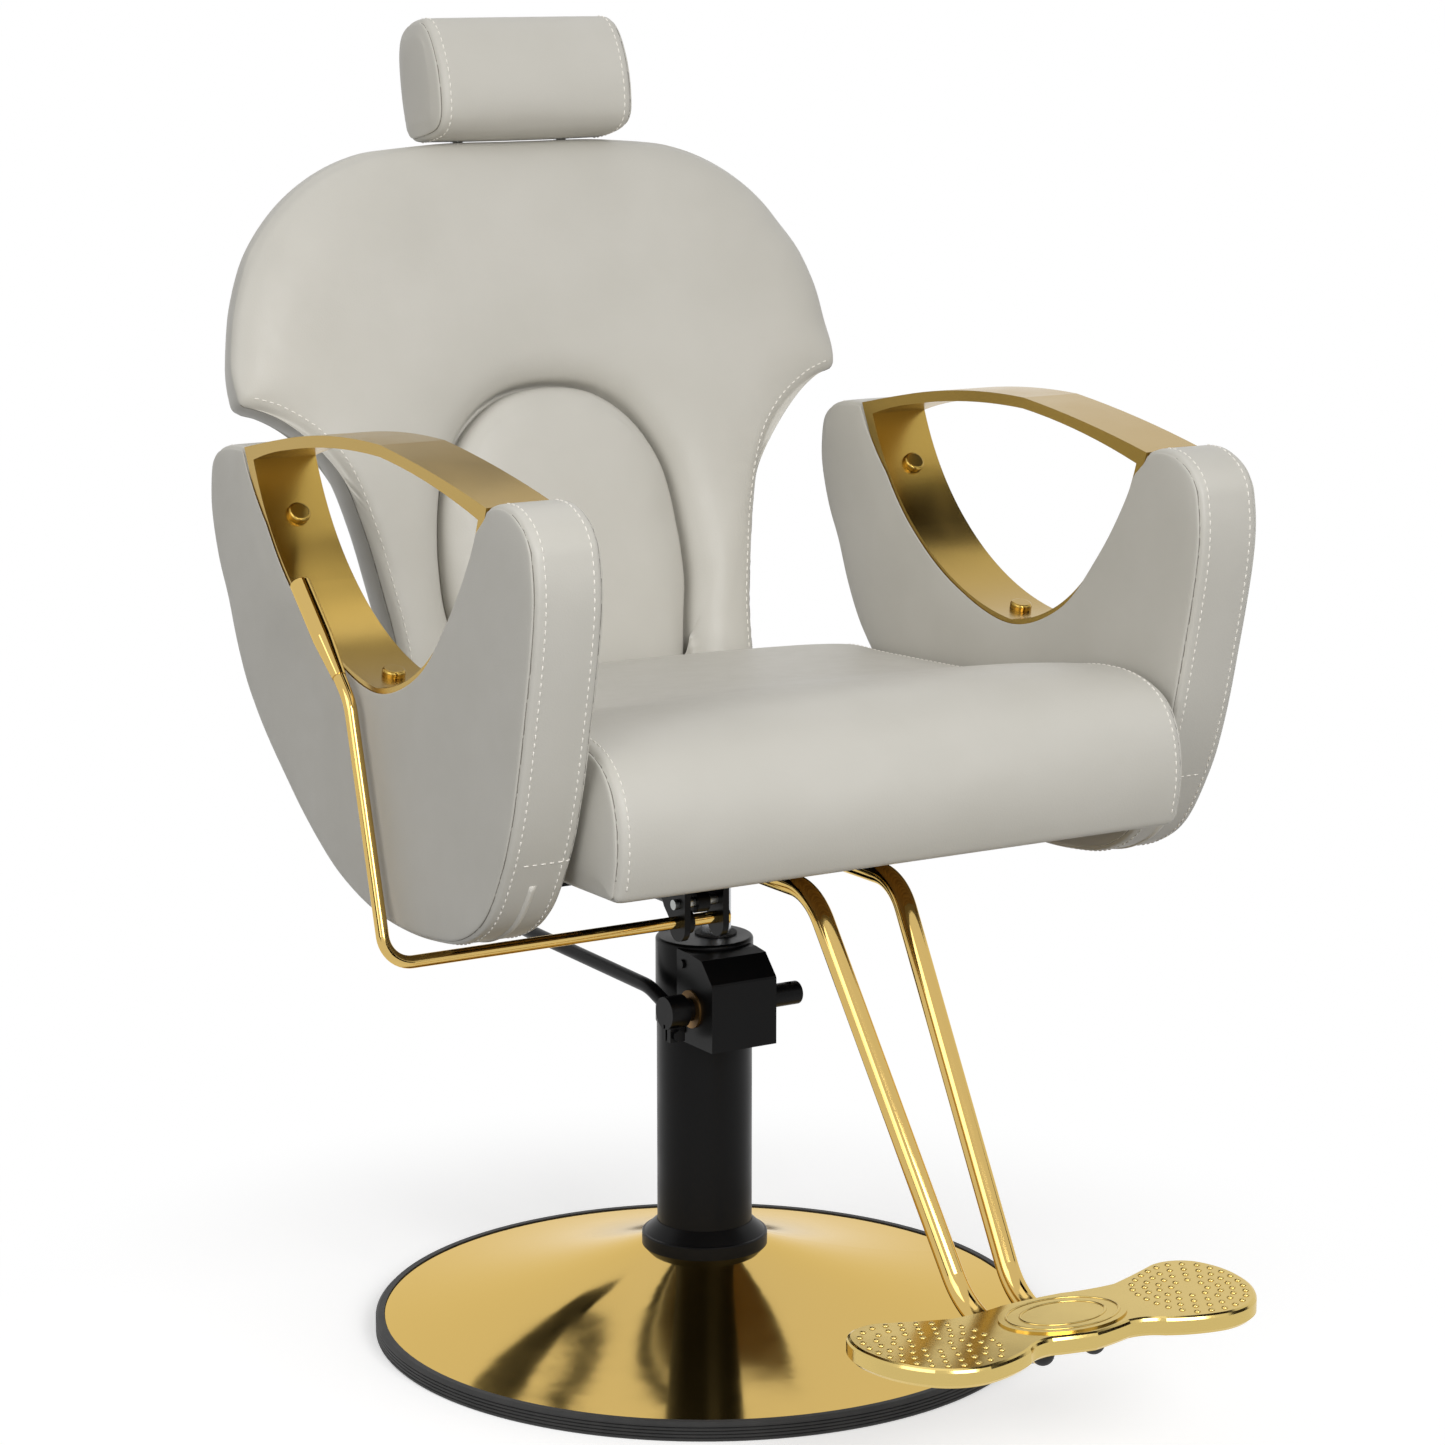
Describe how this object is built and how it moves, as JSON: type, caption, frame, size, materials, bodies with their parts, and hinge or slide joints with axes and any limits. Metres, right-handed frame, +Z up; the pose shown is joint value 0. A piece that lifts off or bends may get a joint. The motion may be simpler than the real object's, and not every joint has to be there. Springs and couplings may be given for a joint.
{
  "type": "hydraulic barber chair",
  "caption": "Padded reclining chair with loop arms and a headrest on a hydraulic pump column, round base, pedal lever and footrest.",
  "frame": {"origin": "centre of the round base on the floor, on the axis of the column", "axes": "+Z up, the chair faces -Y, +X towards the sitter's left hand"},
  "size_m": [0.7335, 1.0205, 1.171],
  "materials": {
    "upholstery": "satin",
    "gold_plate": "polished",
    "gold_cast": "polished",
    "gold_satin": "satin",
    "black_paint": "gloss",
    "steel": "satin",
    "zinc_steel": "satin",
    "chrome": "polished",
    "rubber": "matte",
    "bronze": "satin",
    "cast_iron": "matte",
    "plywood": "matte"
  },
  "bodies": {
    "base": {"base_plate": "cast_iron", "base_disc": "gold_plate", "base_rim": "rubber", "flange_collar": "black_paint", "column_tube": "black_paint", "flange_bolts": "zinc_steel", "swivel_bearings": "bronze"},
    "pump": {"pump_cylinder": "steel", "pump_head": "black_paint", "ram_seal": "rubber", "head_cover": "black_paint", "cover_screws": "black_paint", "shaft_bushes": "bronze", "plunger_spring": "steel"},
    "plunger": {"plunger": "steel"},
    "pump_lever": {"lever_shaft": "black_paint", "lever_clamp": "black_paint", "clamp_bolt": "black_paint", "pedal_bar": "black_paint", "pedal_pad": "rubber"},
    "seat": {"ram": "steel", "mount_hub": "black_paint", "mount_bolts": "black_paint", "seat_frame": "black_paint", "hinge_bushes": "bronze", "lever_bracket": "black_paint", "strut_pin": "zinc_steel", "seat_board": "plywood", "board_screws": "zinc_steel", "arm_bolts": "zinc_steel", "seat_cushion": "upholstery", "arm_pad_left": "upholstery", "arm_pad_right": "upholstery", "arm_loop_left": "gold_satin", "arm_loop_right": "gold_satin", "loop_screws": "gold_satin", "footrest_tube_left": "gold_plate", "footrest_tube_right": "gold_plate", "footplate": "gold_cast", "tube_plugs": "rubber", "footrest_clamps": "black_paint", "footrest_screws": "zinc_steel", "strut_cylinder": "black_paint"},
    "strut_rod": {"strut_rod": "steel"},
    "recline_lever": {"recline_rod": "gold_plate", "recline_grip": "gold_plate", "release_cam": "black_paint"},
    "backrest": {"back_cushion": "upholstery", "back_insert": "upholstery", "back_board": "plywood", "back_panel": "upholstery", "back_bracket_left": "black_paint", "back_bracket_right": "black_paint", "hinge_bolts": "zinc_steel", "bracket_screws": "zinc_steel", "crank_bar": "black_paint", "post_guides": "zinc_steel"},
    "headrest": {"headrest_pad": "upholstery", "headrest_board": "plywood", "headrest_posts": "chrome"}
  },
  "joints": [
    {"name": "swivel", "type": "hinge", "parent": "base", "child": "pump", "pos_m": [0, 0, 0.03], "axis": [0, 0, 1], "continuous": true},
    {"name": "lift", "type": "slide", "parent": "pump", "child": "seat", "axis": [0, 0, 1], "range_m": [0, 0.15]},
    {"name": "pump_lever", "type": "hinge", "parent": "pump", "child": "pump_lever", "pos_m": [0, -0.045, 0.312], "axis": [-1, 0, 0], "range_deg": [0, 20], "stiffness_Nm_per_rad": 10, "springref_deg": -20.05},
    {"name": "plunger_stroke", "type": "slide", "parent": "pump", "child": "plunger", "axis": [0, 0, -1], "range_m": [0, 0.0067], "deforming": ["plunger_spring"]},
    {"name": "recline", "type": "hinge", "parent": "seat", "child": "backrest", "pos_m": [0, 0.232, 0.488], "axis": [-1, 0, 0], "range_deg": [0, 35]},
    {"name": "strut_stroke", "type": "slide", "parent": "seat", "child": "strut_rod", "axis": [0, -1, 0], "range_m": [0, 0.0395]},
    {"name": "recline_lever", "type": "hinge", "parent": "seat", "child": "recline_lever", "pos_m": [0, -0.097, 0.408], "axis": [-1, 0, 0], "range_deg": [0, 15], "stiffness_Nm_per_rad": 4, "springref_deg": -28.65},
    {"name": "headrest_height", "type": "slide", "parent": "backrest", "child": "headrest", "axis": [0, 0.2181, 0.9759], "range_m": [0, 0.09]}
  ],
  "couplings": [
    {"joint": "plunger_stroke", "follows": "pump_lever", "m_per_rad": 0.019},
    {"joint": "strut_stroke", "follows": "recline", "m_per_rad": 0.06449}
  ]
}
